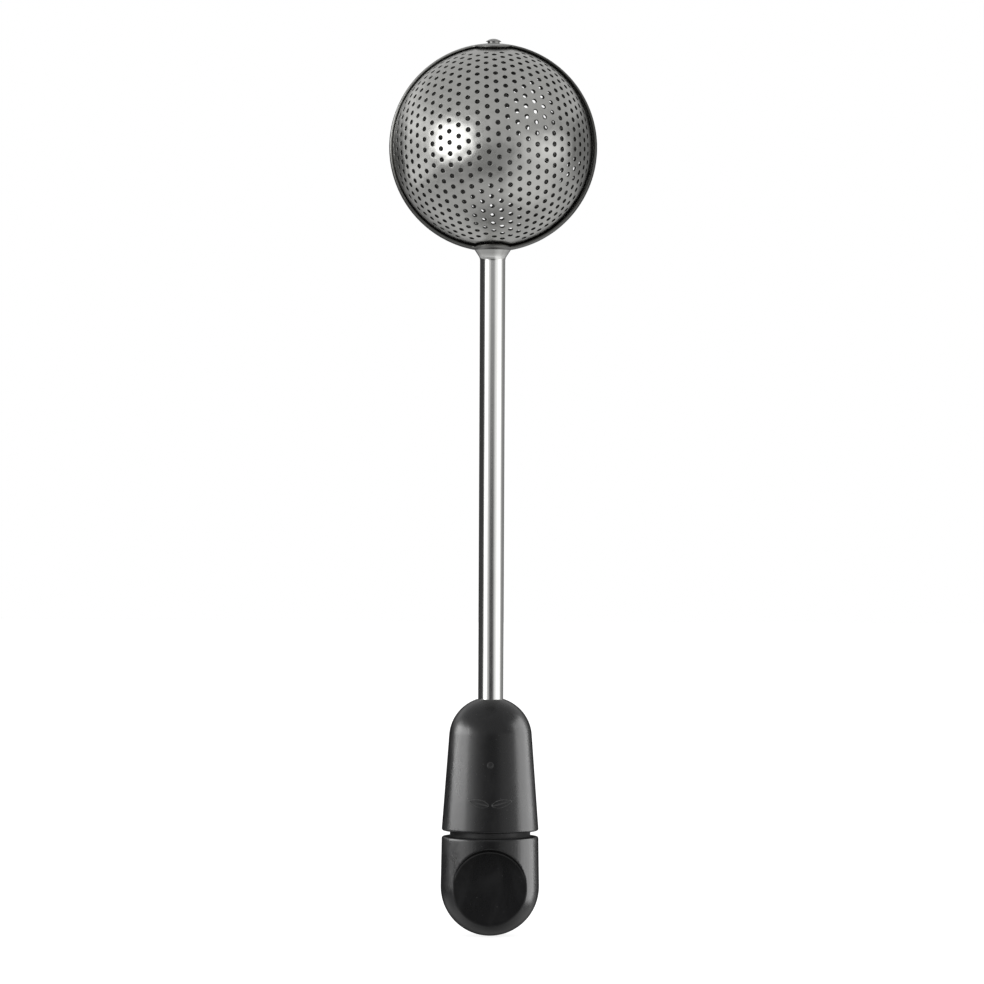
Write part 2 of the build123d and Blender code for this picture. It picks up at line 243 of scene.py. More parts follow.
def rim_outline(radius, lap, reach, facing):
    """Unit directions round a half's edge with its two pivot tongues."""
    middle = reach - tongue_half_width
    fillet = tongue_root_fillet
    fillet_x = sqrt((tongue_half_width + fillet) ** 2 - (lap + fillet - middle) ** 2)
    join = atan2(lap + fillet - middle, fillet_x)
    rim_r = sqrt(radius ** 2 - lap ** 2)
    quarter = [(rim_r * cos(a), lap) for a in np.linspace(0, acos(fillet_x / rim_r), rim_points)]
    quarter += [(fillet_x + fillet * cos(a), lap + fillet + fillet * sin(a))
                for a in np.linspace(-pi / 2, join - pi, fillet_points)[1:]]
    quarter += [(tongue_half_width * cos(a), middle + tongue_half_width * sin(a))
                for a in np.linspace(join, pi / 2, tip_points)[1:]]
    over = quarter + [(-x, s) for x, s in reversed(quarter[:-1])]
    x, s = np.array(over).T
    z = np.sqrt(np.maximum(radius ** 2 - x ** 2 - s ** 2, 0))
    top = np.stack([x, -facing * s, z], axis=1)
    bottom = top[1:-1] * (-1, 1, -1)
    return unit(np.concatenate([top, bottom]))


off_every_hole = (0.31, 0.17, 0.93)    # no hole's middle lies this way


def round_hole(middle, radius, ball_radius):
    """Unit directions round a hole."""
    side = unit(np.cross(middle, off_every_hole))
    other = np.cross(middle, side)
    turn = (np.arange(hole_points) * 2 * pi / hole_points)[:, None]
    spread = asin(radius / ball_radius)
    return middle * cos(spread) + (side * np.cos(turn) + other * np.sin(turn)) * sin(spread)


def pole_hole(side, radius, flats, ball_radius):
    """Unit directions round a pivot hole at a pole; flats below its width cut two flats."""
    turn = np.arange(pole_hole_points) * 2 * pi / pole_hole_points
    x = radius * np.cos(turn)
    y = np.clip(radius * np.sin(turn), -flats / 2, flats / 2)
    return unit(np.stack([x, y, side * np.sqrt(ball_radius ** 2 - x ** 2 - y ** 2)], axis=1))


def edge_steps(outside, inside, dish=0.0, dish_depth=0.0):
    """Steps across a cut edge: (depth, set back from the cut, tilt of the surface)."""
    steps = []
    if dish:
        steps.append((0.0, dish, 0.0))
    for tilt in OUTER_TILTS:
        tilt = max(tilt, dish_tilt) if dish else tilt
        a = radians(tilt)
        steps.append((dish_depth + outside * (1 - cos(a)), outside * (1 - sin(a)), tilt))
    for tilt in INNER_TILTS:
        a = radians(180 - tilt)
        steps.append((sheet - inside * (1 - cos(a)), inside * (1 - sin(a)), tilt))
    return steps


def inside_outline(points, outline):
    """Which flat points lie inside a closed flat outline."""
    x, y = points[:, 0][:, None], points[:, 1][:, None]
    ax, ay = outline[:, 0][None], outline[:, 1][None]
    bx, by = np.roll(ax, -1, axis=1), np.roll(ay, -1, axis=1)
    crosses = (ay > y) != (by > y)
    with np.errstate(divide="ignore", invalid="ignore"):
        at = ax + (y - ay) * (bx - ax) / (by - ay)
    return (np.sum(crosses & (x < at), axis=1) % 2).astype(bool)


def half_ball(name, facing, radius, lap, reach, lean, shift, pole_cuts, play=0.0):
    """One perforated half: matching outer and inner faces joined round every cut edge.

    Its middle is play to the right of the poles.
    """
    loops = [(rim_outline(radius, lap, reach, facing), edge_steps(rim_round, rim_round))]
    for side, cut_r, flats in pole_cuts:
        loops.append((pole_hole(side, cut_r, flats, radius),
                      edge_steps(rim_round / 2, rim_round / 2)))
    middles = hole_middles(facing, lean, shift)
    hole_edge = edge_steps(hole_roll, burr_round, hole_dish, hole_dish_depth)
    loops += [(round_hole(middle, hole_r, radius), hole_edge) for middle in middles]

    rings, owner, following, starts = [], [], [], []
    total = 0
    for number, (directions, steps) in enumerate(loops):
        flat = to_flat(directions, facing)
        turned = np.roll(flat, -1, axis=0)
        area = np.sum(flat[:, 0] * turned[:, 1] - flat[:, 1] * turned[:, 0])
        if (area > 0) != (number == 0):          # the sheet always lies on the loop's left
            directions = directions[::-1]
        along = unit(np.roll(directions, -1, axis=0) - np.roll(directions, 1, axis=0))
        away = unit(np.cross(along, directions)) * -facing
        ring = [((radius - depth) * directions - back * away,
                 cos(radians(tilt)) * directions + sin(radians(tilt)) * away)
                for depth, back, tilt in steps]
        count = len(directions)
        rings.append(ring)
        starts.append(total)
        owner += [number] * count
        following += [total + (i + 1) % count for i in range(count)]
        total += count

    # Filler points keep the triangles even between the cut edges.
    u, v = lattice(fill_pitch, fill_reach, lean, shift, quarter_turn=True)
    fill = from_flat(u, v, facing)
    clear_of_hole = cos((hole_r + hole_dish + hole_margin) / radius)
    keep = (fill @ middles.T).max(axis=1) < clear_of_hole
    past = -facing * fill[:, 1] * radius
    across = fill[:, 0] * radius
    from_tongue = np.hypot(across, past - (reach - tongue_half_width))
    keep &= (past < lap - edge_margin) | (from_tongue < tongue_half_width - edge_margin)
    keep &= np.hypot(u, v) < fill_limit
    for side, cut_r, flats in pole_cuts:
        from_axis = np.hypot(fill[:, 0], fill[:, 1]) * radius
        keep &= (from_axis >= cut_r + edge_margin) | (fill[:, 2] * side <= 0)
    fill = fill[keep]

    edge_flat = np.concatenate([to_flat(unit(ring[0][0]), facing) for ring in rings])
    flat = np.concatenate([edge_flat, to_flat(fill, facing)])
    edges = [(i, j) for i, j in enumerate(following)]
    found = delaunay_2d_cdt([tuple(p) for p in flat], edges, [], 0, 1e-7)
    if len(found[0]) != len(flat):
        raise RuntimeError(f"{name}: the pattern's edges cross")
    triangles = np.array([f for f in found[2] if len(f) == 3])
    owners = np.array(owner + [-1] * len(fill))[triangles]
    one_loop = (owners[:, 0] == owners[:, 1]) & (owners[:, 0] == owners[:, 2]) & (owners[:, 0] >= 0)
    in_hole = one_loop & (owners[:, 0] > 0)
    centroid = flat[triangles].mean(axis=1)
    rim_count = len(loops[0][0])
    outside = (owners == 0).all(axis=1)
    outside[outside] = ~inside_outline(centroid[outside], flat[:rim_count])
    triangles = triangles[~(in_hole | outside)]

    # Vertices: the outer face, the inner face, then the steps between them loop by loop.
    face_count = total + len(fill)
    points = [np.concatenate([ring[0][0] for ring in rings] + [fill * radius]),
              np.concatenate([ring[-1][0] for ring in rings] + [fill * (radius - sheet)])]
    normals = [np.concatenate([ring[0][1] for ring in rings] + [fill]),
               np.concatenate([ring[-1][1] for ring in rings] + [-fill])]
    quads = []
    offset = 2 * face_count
    for ring, start in zip(rings, starts):
        count = len(ring[0][0])
        here = np.arange(count)
        then = (here + 1) % count
        first = start + here, start + then
        for step in range(1, len(ring)):
            if step == len(ring) - 1:
                second = face_count + start + here, face_count + start + then
            else:
                points.append(ring[step][0])
                normals.append(ring[step][1])
                second = offset + here, offset + then
                offset += count
            quads.append(np.stack([first[0], second[0], second[1], first[1]], axis=1))
            first = second
    quads = np.concatenate(quads)
    inner_triangles = triangles[:, ::-1] + face_count
    faces = [*triangles, *inner_triangles, *quads]
    if facing > 0:
        faces = [f[::-1] for f in faces]
    points = np.concatenate(points)
    points[:, 0] += play * (1 - (points[:, 2] / radius) ** 2)
    points[:, 2] += ball_z
    return add_mesh(name, points, faces, np.concatenate(normals))


# ---- grip and knob ----------------------------------------------------------------------------
dome_z = 49.6 * MM
dome_r = 10.35 * MM
dome_height = 10.1 * MM
dome_join = radians(4.2)
grip_base_r = 12.12 * MM
grip_base_round = 0.5 * MM
skin = 1.6 * MM
bore_round = 0.3 * MM
end_plate_r = 10.32 * MM
end_plate_top = 28.9 * MM
grip_bore_r = 3.2 * MM

# Moulded marks on the grip's front, and the fine mesh that carries them.
gate_z = 43.1 * MM
gate_ring_r = 0.62 * MM
leaf_z = 33.1 * MM
leaf_gap = 0.7 * MM                    # between the two leaves' stalks
leaf_length = 5.4 * MM
leaf_width = 2.0 * MM
leaf_tilt = radians(13)
leaf_relief = 0.20 * MM
marked_half_width = 8.2 * MM
leaf_band = (30.9 * MM, 35.6 * MM)     # heights that the leaves lie between
gate_band = (42.1 * MM, 44.1 * MM)


def leaf(x, z):
    """Height 0 to 1 of a pointed leaf with a midrib, growing to the right from the origin."""
    along = x * cos(leaf_tilt) + z * sin(leaf_tilt)
    aside = -x * sin(leaf_tilt) + z * cos(leaf_tilt)
    share = np.clip(along / leaf_length, 0, 1)
    half_width = leaf_width / 2 * (np.sin(pi * share ** 0.8)) ** 0.75 + 1e-9
    reach = np.abs(aside) / half_width
    body = np.clip((1 - reach) * half_width / (0.16 * MM), 0, 1)
    body = body * body * (3 - 2 * body)
    rib = np.exp(-(aside / (0.11 * MM)) ** 2) * np.clip(1.2 - share, 0, 1)
    inside = (along > 0) & (along < leaf_length)
    return np.where(inside, body * (1 - 0.75 * rib), 0.0)


def skin_relief(x, z):
    """Moulded relief on the grip's front: a gate mark above and a plain pair of leaves below."""
    gate = np.hypot(x, z - gate_z)
    ring = 0.07 * MM * np.exp(-((gate - gate_ring_r) / (0.14 * MM)) ** 2)
    pip = -0.05 * MM * np.exp(-(gate / (0.33 * MM)) ** 2)
    leaves = np.maximum(leaf(x - leaf_gap / 2, z - leaf_z), leaf(-x - leaf_gap / 2, z - leaf_z))
    return ring + pip + leaf_relief * leaves


def grip_outline():
    """Closed outline of the grip's soft skin, and which of its points are on the outside."""
    join_r = dome_r * cos(dome_join)
    join_z = dome_z + dome_height * sin(dome_join)
    bore_r = grip_bore_r
    top = acos((bore_r + bore_round) / dome_r)
    foot = grip_foot_z
    slope = (grip_base_r - join_r) / (join_z - foot)
    tilt = atan2(slope, 1)
    half = (pi / 2 + tilt) / 2
    inset = grip_base_round / tan(half)
    heights = np.concatenate([
        np.linspace(foot + inset, leaf_band[0], 12)[:-1], np.linspace(*leaf_band, 60)[:-1],
        np.linspace(leaf_band[1], gate_band[0], 16)[:-1], np.linspace(*gate_band, 30)[:-1],
        np.linspace(gate_band[1], join_z, 16)[:-1]])
    base = rounded([(end_plate_r, foot, 0), (grip_base_r, foot, grip_base_round),
                    (join_r, join_z, 0)], 8)[:-1]
    cone = [(join_r + slope * (join_z - z), z) for z in heights[1:]]
    dome = [(dome_r * cos(a), dome_z + dome_height * sin(a))
            for a in np.linspace(dome_join, top, 48)]
    lip_z = dome[-1][1]
    lip = [(bore_r + bore_round - bore_round * sin(a), lip_z - bore_round * (1 - cos(a)))
           for a in np.linspace(0, pi / 2, 7)[1:]]
    inner_r, inner_height = dome_r - skin, dome_height - skin
    inner_top = acos(bore_r / inner_r)
    under = [(inner_r * cos(a), dome_z + inner_height * sin(a))
             for a in np.linspace(inner_top, dome_join, 24)]
    cavity = [(under[-1][0] + slope * (join_z - end_plate_top), end_plate_top),
              (end_plate_r, end_plate_top)]
    outside = len(base) + len(cone) + len(dome)
    return np.array([*base, *cone, *dome, *lip, *under, *cavity]), outside


def grip_skin():
    """The grip's soft skin with its moulded relief."""
    outline, outside = grip_outline()
    front = marked_half_width / grip_base_r
    turns = np.concatenate([np.linspace(-front, front, 150),
                            np.linspace(front, 2 * pi - front, 150)[1:-1]])
    points, normals = lathe(outline, turns)
    shown = slice(0, outside)
    x = np.where(np.abs(turns)[None] <= front, outline[shown, :1] * turns[None], 1.0)
    z = np.broadcast_to(outline[shown, 1:], x.shape)
    step = 0.02 * MM
    height = skin_relief(x, z)
    rise_x = (skin_relief(x + step, z) - skin_relief(x - step, z)) / (2 * step)
    rise_z = (skin_relief(x, z + step) - skin_relief(x, z - step)) / (2 * step)
    worn_slope = 1.2                    # relief this steep is fully worn
    sideways = np.stack([np.cos(turns), np.sin(turns), 0 * turns], axis=1)
    points[shown] += normals[shown] * height[..., None]
    tilted = normals[shown] - rise_x[..., None] * sideways[None]
    tilted[..., 2] -= rise_z
    normals[shown] = unit(tilted)
    wear = np.zeros(points.shape[:2])
    wear[shown] = np.clip(np.hypot(rise_x, rise_z) / worn_slope, 0, 1)
    piece = add_mesh("grip_skin", points.reshape(-1, 3), lathe_faces(len(outline), len(turns)),
                     normals.reshape(-1, 3))
    piece.data.attributes.new("wear", "FLOAT", "POINT").data.foreach_set("value", wear.ravel())
    return piece


def moulded_copy(node, name, voxel, passes):
    """A copy of a CAD node's solid with the slightly soft edges of a moulded part."""
    piece = bpy.data.objects.new(name, frame["nodes"][node].data.copy())
    bpy.context.scene.collection.objects.link(piece)
    remesh = piece.modifiers.new("remesh", "REMESH")
    remesh.mode = "VOXEL"
    remesh.voxel_size = voxel
    remesh.use_smooth_shade = True
    relax = piece.modifiers.new("relax", "SMOOTH")
    relax.factor = 0.5
    relax.iterations = passes
    ready = piece.evaluated_get(bpy.context.evaluated_depsgraph_get())
    mesh = bpy.data.meshes.new_from_object(ready)
    mesh.name = name
    piece.modifiers.clear()
    piece.data = mesh
    mesh.materials.clear()
    return piece


# ---- node trees -------------------------------------------------------------------------------
def add_node(tree, kind, inputs=None, **settings):
    """Adds a shader node; inputs maps a socket's name or number to a value or to an output."""
    made = tree.nodes.new("ShaderNode" + kind)
    for key, value in settings.items():
        setattr(made, key, value)
    for key, value in (inputs or {}).items():
        if isinstance(value, bpy.types.NodeSocket):
            tree.links.new(value, made.inputs[key])
        else:
            made.inputs[key].default_value = value
    return made


def math(tree, operation, first, second=0.0):
    """The result of one arithmetic node."""
    return add_node(tree, "Math", {0: first, 1: second}, operation=operation).outputs[0]


def remap(tree, value, low, high, to_low, to_high, smooth=False):
    """value taken from low..high to to_low..to_high, held at both ends."""
    kind = "SMOOTHSTEP" if smooth else "LINEAR"
    return add_node(tree, "MapRange", {0: value, 1: low, 2: high, 3: to_low, 4: to_high},
                    interpolation_type=kind, clamp=True).outputs[0]


def stretched(tree, sizes):
    """Object coordinates divided by a feature size along each axis."""
    coordinates = add_node(tree, "TexCoord").outputs["Object"]
    return add_node(tree, "Mapping", {0: coordinates, 3: [1 / s for s in sizes]},
                    vector_type="POINT").outputs[0]


def noise(tree, sizes, detail=3.0, rough=0.5, distortion=0.0):
    """Noise whose features are about sizes wide; sizes is a length or one per axis."""
    sizes = (sizes,) * 3 if isinstance(sizes, float) else sizes
    made = add_node(tree, "TexNoise", {"Vector": stretched(tree, sizes), "Scale": 1.0,
                                       "Detail": detail, "Roughness": rough,
                                       "Distortion": distortion})
    return made.outputs[0]


def mix_colours(tree, factor, first, second):
    """Blend of two colours; sockets 6 and 7 are the colour inputs of a Mix node."""
    made = add_node(tree, "Mix", {0: factor}, data_type="RGBA")
    for number, colour in ((6, first), (7, second)):
        if isinstance(colour, bpy.types.NodeSocket):
            tree.links.new(colour, made.inputs[number])
        else:
            made.inputs[number].default_value = (*colour, 1.0)
    return made.outputs[2]


def bump(tree, height, depth, under=None):
    """A bump of the given depth in metres, over another one."""
    inputs = {"Height": height, "Distance": depth, "Strength": 1.0}
    if under is not None:
        inputs["Normal"] = under
    return add_node(tree, "Bump", inputs).outputs[0]


def surface(name, build):
    """A material whose Principled inputs come from build(tree)."""
    material = bpy.data.materials.new(name)
    material.use_nodes = True
    tree = material.node_tree
    tree.nodes.clear()
    shader = add_node(tree, "BsdfPrincipled", build(tree))
    add_node(tree, "OutputMaterial", {0: shader.outputs[0]})
    return material


# Where the finishes and the painted shade change. Facing is 1 on a sheet's outside, 0 on a cut edge
# and -1 inside.
shaded_edge_facing = (0.78, 0.98)
inside_facing = (-0.8, -0.3)
outer_half_reach = (outer_r - 0.6 * MM, outer_r - 0.5 * MM)   # only the back half lies this far out
rim_shade_depth = (-2.8 * MM, -0.6 * MM)     # painted shade darkens the back half toward its rim over this depth
tongue_depth = (-4.7 * MM, -4.0 * MM)
tongue_shade = 0.65                     # how much of the rim's painted shade the tongues keep
lit_side = (-0.72, 0, 0.69)         # toward this lit side the painted shade on the rim and the cut edges mostly fades
lit_side_spread = (0.35, 0.85)
lit_side_shade = 0.15
weld_and_shade_height = (168.9 * MM, 170.6 * MM)
scuff_height = (1.5 * MM, 7.5 * MM)    # wear on the knob's round end
grazing_facing = (0.62, 0.86)          # the matte skin loses its gloss at grazing views


def sheet_faces(tree):
    """Masks 0 to 1 for a point of the ball: painted shade on cut edges and hole walls, how far it
    faces inside, and painted shade on the back half's rim band and tongues.
    """
    seen = add_node(tree, "TexCoord")
    outward = add_node(tree, "VectorMath", {0: seen.outputs["Object"], 1: (0, 0, ball_z)},
                       operation="SUBTRACT").outputs[0]
    reach = add_node(tree, "VectorMath", {0: outward}, operation="LENGTH").outputs["Value"]
    depth = add_node(tree, "SeparateXYZ", {0: outward}).outputs[1]
    outer = remap(tree, reach, *outer_half_reach, 0, 1)
    # painted shade on the back half's rim band, and part of it on its tongues
    rim_shade = math(tree, "MULTIPLY", outer, remap(tree, depth, *rim_shade_depth, 1, 0, True))
    tongue = math(tree, "MULTIPLY", outer,
                  remap(tree, depth, *tongue_depth, tongue_shade, 0, True))
    outward = add_node(tree, "VectorMath", {0: outward}, operation="NORMALIZE").outputs[0]
    facing = add_node(tree, "VectorMath", {0: outward, 1: seen.outputs["Normal"]},
                      operation="DOT_PRODUCT").outputs["Value"]
    # painted shade on cut edges and hole walls
    edge = remap(tree, math(tree, "ABSOLUTE", facing), *shaded_edge_facing, 1, 0, True)
    # the painted shade mostly fades toward the lit upper-left side
    toward = add_node(tree, "VectorMath", {0: outward, 1: lit_side},
                      operation="DOT_PRODUCT").outputs["Value"]
    painted_shade = remap(tree, toward, *lit_side_spread, 1, lit_side_shade, True)
    painted_shade = math(tree, "MAXIMUM", painted_shade, tongue)
    edge, rim_shade = math(tree, "MULTIPLY", edge, painted_shade), math(tree, "MULTIPLY", rim_shade, painted_shade)
    return edge, remap(tree, facing, *inside_facing, 1, 0, True), rim_shade


def ball_steel(tree):
    """Tumbled stainless sheet: slightly wavy and duller inside, with painted shade on cut edges,
    hole walls and the back half's rim.
    """
    edge, inside, rim_shade = sheet_faces(tree)
    patch = noise(tree, 7 * MM, 2.0)
    cloud = noise(tree, 1.6 * MM, 4.0, 0.6)
    rough = math(tree, "ADD", remap(tree, patch, 0.35, 0.65, 0.26, 0.31),
                 remap(tree, cloud, 0.3, 0.7, -0.02, 0.03))
    rough = math(tree, "ADD", rough, math(tree, "MULTIPLY", inside, 0.18))
    tint = mix_colours(tree, remap(tree, cloud, 0.3, 0.7, 0, 1), (0.39, 0.39, 0.375),
                       (0.44, 0.44, 0.425))
    tint = mix_colours(tree, inside, tint, (0.33, 0.33, 0.32))
    # painted shade darkens cut edges and hole walls
    tint = mix_colours(tree, math(tree, "MULTIPLY", edge, 0.85), tint, (0.09, 0.09, 0.085))
    # painted shade along the back half's rim band and tongues
    tint = mix_colours(tree, math(tree, "MULTIPLY", rim_shade, 0.8), tint, (0.10, 0.10, 0.095))
    wave = bump(tree, noise(tree, 5 * MM, 2.0, 0.5), 0.16 * MM)
    grain = bump(tree, noise(tree, 0.35 * MM, 3.0, 0.6), 0.004 * MM, wave)
    return {"Base Color": tint, "Metallic": 1.0, "Roughness": rough, "Normal": grain}


def stem_steel(tree):
    """Polished tube with fine drawing lines along its length; the flare is darker and duller,
    partly the weld's heat tint and partly painted shade.
    """
    lines = noise(tree, (0.25 * MM, 0.25 * MM, 40 * MM), 4.0, 0.6)
    patch = noise(tree, (3 * MM, 3 * MM, 12 * MM), 2.0)
    rough = math(tree, "ADD", remap(tree, patch, 0.35, 0.65, 0.11, 0.15),
                 remap(tree, lines, 0.35, 0.65, -0.02, 0.03))
    drawn = bump(tree, lines, 0.004 * MM, bump(tree, patch, 0.01 * MM))
    tint = mix_colours(tree, remap(tree, lines, 0.3, 0.7, 0, 1), (0.70, 0.70, 0.69),
                       (0.77, 0.77, 0.75))
    height = add_node(tree, "SeparateXYZ", {0: add_node(tree, "TexCoord").outputs["Object"]})
    # darker, duller flare: partly the weld's heat tint, partly painted shade
    weld_and_shade = remap(tree, height.outputs[2], *weld_and_shade_height, 0, 1, True)
    tint = mix_colours(tree, weld_and_shade, tint, (0.40, 0.40, 0.39))
    rough = math(tree, "ADD", rough, math(tree, "MULTIPLY", weld_and_shade, 0.10))
    return {"Base Color": tint, "Metallic": 1.0, "Roughness": rough, "Normal": drawn}


def turned_steel(tree):
    """Turned or pressed small steel parts: rings of tool marks, a little duller."""
    marks = noise(tree, (30 * MM, 30 * MM, 0.12 * MM), 3.0, 0.6)
    patch = noise(tree, 2 * MM, 3.0)
    rough = remap(tree, patch, 0.3, 0.7, 0.24, 0.36)
    return {"Base Color": mix_colours(tree, patch, (0.24, 0.24, 0.235), (0.32, 0.32, 0.31)),
            "Metallic": 1.0, "Roughness": rough,
            "Normal": bump(tree, marks, 0.004 * MM, bump(tree, patch, 0.02 * MM))}


def soft_skin(tree):
    """Black thermoplastic rubber: fine matte grain, handling smudges and a little dust."""
    grain = noise(tree, 0.16 * MM, 3.0, 0.6)
    hand = noise(tree, (5 * MM, 5 * MM, 9 * MM), 4.0, 0.65, 0.6)
    streak = noise(tree, (0.7 * MM, 0.7 * MM, 7 * MM), 3.0, 0.6)
    speck = noise(tree, 0.55 * MM, 2.0, 0.5)
    dust = remap(tree, speck, 0.70, 0.78, 0, 1, True)
    smudge = remap(tree, hand, 0.45, 0.75, 0, 1, True)
    colour = mix_colours(tree, smudge, (0.0045, 0.0045, 0.005), (0.009, 0.009, 0.0095))
    colour = mix_colours(tree, math(tree, "MULTIPLY", dust, 0.35), colour, (0.16, 0.16, 0.16))
    wear = add_node(tree, "Attribute", attribute_name="wear").outputs["Fac"]
    colour = mix_colours(tree, math(tree, "MULTIPLY", wear, 0.5), colour, (0.10, 0.10, 0.10))
    height = add_node(tree, "SeparateXYZ", {0: add_node(tree, "TexCoord").outputs["Object"]})
    scuffed = remap(tree, height.outputs[2], *scuff_height, 1, 0, True)
    rough = math(tree, "ADD", remap(tree, hand, 0.3, 0.7, 0.25, 0.32),
                 remap(tree, streak, 0.3, 0.7, -0.01, 0.015))
    relief = bump(tree, grain, 0.006 * MM, bump(tree, hand, 0.035 * MM))
    rough = math(tree, "ADD", rough, math(tree, "MULTIPLY", scuffed, 0.15))
    grazing = add_node(tree, "LayerWeight", {"Blend": 0.5}).outputs["Facing"]
    gloss = math(tree, "MULTIPLY", remap(tree, scuffed, 0, 1, 0.5, 0.2),
                 remap(tree, grazing, *grazing_facing, 1, 0.15, True))
    return {"Base Color": colour, "Roughness": rough, "IOR": 1.40, "Normal": relief,
            "Specular IOR Level": gloss}


def core_plastic(tree):
    """Rigid black nylon with a spark-eroded mould texture."""
    texture = noise(tree, 0.12 * MM, 2.0)
    patch = noise(tree, 3 * MM, 3.0)
    return {"Base Color": mix_colours(tree, patch, (0.012, 0.012, 0.013), (0.022, 0.022, 0.022)),
            "Roughness": remap(tree, patch, 0.3, 0.7, 0.42, 0.55),
            "Normal": bump(tree, texture, 0.006 * MM)}


def bearing_plastic(tree):
    """Natural acetal: milky white with faint flow marks."""
    flow = noise(tree, (1.5 * MM, 1.5 * MM, 4 * MM), 3.0)
    return {"Base Color": mix_colours(tree, flow, (0.62, 0.61, 0.57), (0.74, 0.73, 0.69)),
            "Roughness": remap(tree, flow, 0.3, 0.7, 0.32, 0.42),
            "Subsurface Weight": 0.15, "Subsurface Radius": (0.6 * MM, 0.5 * MM, 0.4 * MM),
            "Normal": bump(tree, noise(tree, 0.2 * MM, 2.0), 0.003 * MM)}


MATERIALS = {
    "ball_steel": surface("ball_steel_finish", ball_steel),
    "stem_steel": surface("stem_steel_finish", stem_steel),
    "rivet_steel": surface("rivet_steel_finish", turned_steel),
    "rod_steel": surface("rod_steel_finish", turned_steel),
    "soft_skin": surface("soft_skin_finish", soft_skin),
    "core_plastic": surface("core_plastic_finish", core_plastic),
    "bearing_plastic": surface("bearing_plastic_finish", bearing_plastic),
}

# ---- pieces -----------------------------------------------------------------------------------
collar_hole_r = 2.2 * MM
outer_rivet_r = 1.02 * MM
inner_rivet_r = 1.05 * MM
tenon_hole_r = 1.62 * MM
tenon_hole_flats = 2.44 * MM
back_half = place(
    half_ball("ball_back_half", 1, outer_r, outer_rim_lap, outer_reach, back_lean, back_shift,
              [(-1, collar_hole_r, 2 * collar_hole_r), (1, outer_rivet_r, 2 * outer_rivet_r)]),
    "handle_body", "ball_steel", "outer_shell")
front_half = place(
    half_ball("ball_front_half", -1, inner_r, inner_rim_lap, inner_reach, front_lean, front_shift,
              [(-1, tenon_hole_r, tenon_hole_flats), (1, inner_rivet_r, 2 * inner_rivet_r)],
              front_play),
    "twist_body", "ball_steel", "inner_shell")
grip = place(grip_skin(), "handle_body", "soft_skin", "grip_sleeve")
knob = place(moulded_copy("knob_sleeve", "knob_skin", 0.2 * MM, 5), "twist_body", "soft_skin",
             "knob_sleeve")

for name, node in frame["nodes"].items():
    finish = node.data.materials[0].name if node.data.materials else "core_plastic"
    node.data.materials.clear()
    node.data.materials.append(MATERIALS.get(finish, MATERIALS["core_plastic"]))
for piece in (back_half, front_half, grip, knob):
    piece.data.materials.clear()
    piece.data.materials.append(MATERIALS[piece["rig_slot"]])

# ---- floor, light and camera ------------------------------------------------------------------
camera_distance = 1.250
camera_height = 0.1109
frame_width = 0.246                    # what the picture spans at the twist axis
sensor = 36.0                          # millimetres, as Blender counts a lens
roll = radians(-0.26)
floor_half = 3.0
floor_glow = 0.86

# Soft boxes as the object sees them, turning with the camera: left and right edge (degrees right
# of the way to the camera), lower and upper edge (degrees up), softness of the side edges and of
# the other two, brightness.
SOFT_BOXES = (
    (-66, -42, -11, 20, 12, 6, 2.1),      # key
    (-74, -20, -12, 20, 12, 8, 0.6),      # its glow on the wall
    (-150, -84, 10, 30, 10, 6, 0.50),     # left wall
    (-36, 36, 1, 20, 8, 3, 0.42),         # wall over the camera
    (-60, 30, -32, -13, 8, 4, 0.30),      # floor before the camera
    (-150, -60, -36, -12, 12, 5, 0.40),   # floor on the left
    (27, 96, -36, 14, 16, 6, 1.00),       # broad fill from the right
    (50, 90, -10, 8, 12, 6, 0.60),        # its middle
    (24, 92, -62, -36, 12, 7, 0.42),      # and its lower part
    (96, 150, -40, 24, 10, 8, 0.24),      # far right
    (-180, 180, 18, 90, 10, 6, 0.68),     # ceiling
    (-180, 180, -70, -35, 10, 7, 0.68),   # table
    (100, 180, -38, -14, 10, 7, 0.40),    # table behind, right
    (-180, -105, -70, -14, 10, 7, 0.12),  # and left
    (-180, 180, -90, -70, 10, 8, 0.36),   # under the object
)
AMBIENT = 0.05

# Area lights that light only some pieces: degrees right of the way to the camera, degrees up,
# width and height in metres at one metre's distance, brightness, lit pieces.
SIDE_STRIPS = (
    (-89, 12, 0.98, 0.42, 9.6, "rubber"),
    (100, 5, 0.98, 1.10, 5.2, "rubber"),
    (-46, 5, 0.84, 0.52, 2.2, "ball"),
    (-98, -2, 0.80, 0.80, 0.90, "ball"),
    (2, -2, 0.60, 0.50, 0.30, "ball"),
)


def soft_box(tree, turn, rise, left, right, low, high, side_edge, edge, power):
    """Brightness of one soft-edged box."""
    parts = [remap(tree, rise, low - edge, low + edge, 0, 1, True),
             remap(tree, rise, high - edge, high + edge, 1, 0, True)]
    if right - left < 360:              # a full ring has no side edges
        parts += [remap(tree, turn, left - side_edge, left + side_edge, 0, 1, True),
                  remap(tree, turn, right - side_edge, right + side_edge, 1, 0, True)]
    light = power
    for part in parts:
        light = math(tree, "MULTIPLY", part, light)
    return light


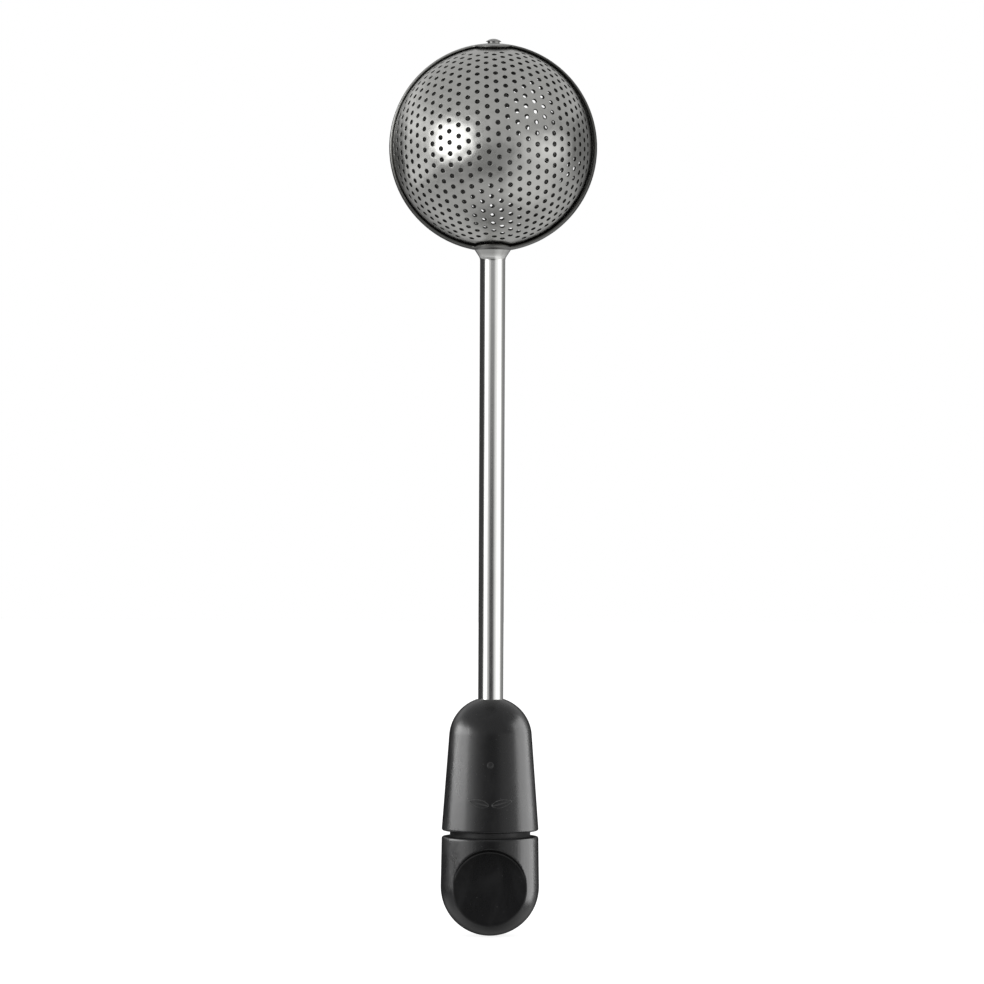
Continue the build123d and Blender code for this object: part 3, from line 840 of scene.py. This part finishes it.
def studio():
    """A white backdrop for the camera and soft boxes for everything else."""
    world = bpy.data.worlds.new("studio")
    bpy.context.scene.world = world
    world.use_nodes = True
    tree = world.node_tree
    tree.nodes.clear()
    outward = add_node(tree, "TexCoord").outputs["Generated"]
    seen = add_node(tree, "VectorTransform", {0: outward}, vector_type="VECTOR",
                    convert_from="WORLD", convert_to="CAMERA").outputs[0]
    split = add_node(tree, "SeparateXYZ", {0: seen})
    ahead = math(tree, "MULTIPLY", split.outputs[2], -1.0)
    turn = math(tree, "MULTIPLY", math(tree, "ARCTAN2", split.outputs[0], ahead), 180 / pi)
    rise = math(tree, "MULTIPLY", math(tree, "ARCSINE", split.outputs[1]), 180 / pi)
    total = AMBIENT
    for box in SOFT_BOXES:
        total = math(tree, "ADD", soft_box(tree, turn, rise, *box), total)
    lit = add_node(tree, "Background", {0: (1, 1, 1, 1), 1: total})
    white = add_node(tree, "Background", {0: (1, 1, 1, 1), 1: 1.0})
    path = add_node(tree, "LightPath")
    either = add_node(tree, "MixShader", {0: path.outputs["Is Camera Ray"], 1: lit.outputs[0],
                                          2: white.outputs[0]})
    add_node(tree, "OutputWorld", {0: either.outputs[0]})


def pale_floor():
    """A plain white sweep that the camera sees; it takes only a faint contact shadow."""
    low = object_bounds()[0].z
    corners = [(-1, -1), (1, -1), (1, 1), (-1, 1)]
    floor = add_mesh("floor", [(x * floor_half, y * floor_half, low) for x, y in corners],
                     [(0, 1, 2, 3)])
    floor.visible_glossy = False
    floor.visible_diffuse = False
    floor.visible_transmission = False
    material = bpy.data.materials.new("floor_finish")
    material.use_nodes = True
    tree = material.node_tree
    tree.nodes.clear()
    plain = add_node(tree, "BsdfDiffuse", {0: (0.5, 0.5, 0.5, 1)})
    glow = add_node(tree, "Emission", {0: (1, 1, 1, 1), 1: floor_glow})
    both = add_node(tree, "AddShader", {0: plain.outputs[0], 1: glow.outputs[0]})
    add_node(tree, "OutputMaterial", {0: both.outputs[0]})
    floor.data.materials.append(material)


def camera():
    """A long lens level with the middle of the object."""
    data = bpy.data.cameras.new("camera")
    data.sensor_width = sensor
    data.lens = sensor * camera_distance / frame_width
    data.clip_start, data.clip_end = 0.01, 20.0
    piece = bpy.data.objects.new("camera", data)
    piece.location = (0.10 * MM, -camera_distance, camera_height)
    piece.rotation_euler = (pi / 2, roll, 0)
    bpy.context.scene.collection.objects.link(piece)
    bpy.context.scene.camera = piece
    return piece


def side_strips(lens, groups):
    """Area lights that turn with the camera and light only the named groups of pieces."""
    receivers = {}
    for name, pieces in groups.items():
        receivers[name] = bpy.data.collections.new(name)
        for piece in pieces:
            receivers[name].objects.link(piece)
    bpy.context.view_layer.update()
    for number, (turn, rise, width, height, power, group) in enumerate(SIDE_STRIPS):
        low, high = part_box("grip_sleeve" if group == "rubber" else "outer_shell")
        a, e = radians(turn), radians(rise)
        away = Vector((sin(a) * cos(e), -cos(a) * cos(e), sin(e)))
        data = bpy.data.lights.new(f"strip_{number}", "AREA")
        data.shape = "RECTANGLE"
        data.size, data.size_y = width, height
        data.energy = power * pi * width * height
        strip = bpy.data.objects.new(f"strip_{number}", data)
        bpy.context.scene.collection.objects.link(strip)
        strip.location = Vector((0, 0, (low.z + high.z) / 2)) + away
        strip.rotation_euler = away.to_track_quat("Z", "Y").to_euler()
        strip.parent = lens
        strip.matrix_parent_inverse = lens.matrix_world.inverted()
        strip.visible_camera = False
        strip.light_linking.receiver_collection = receivers[group]


studio()
pale_floor()
side_strips(camera(), {"rubber": [grip, knob], "ball": [back_half, front_half]})
bpy.context.scene.view_settings.view_transform = "Standard"
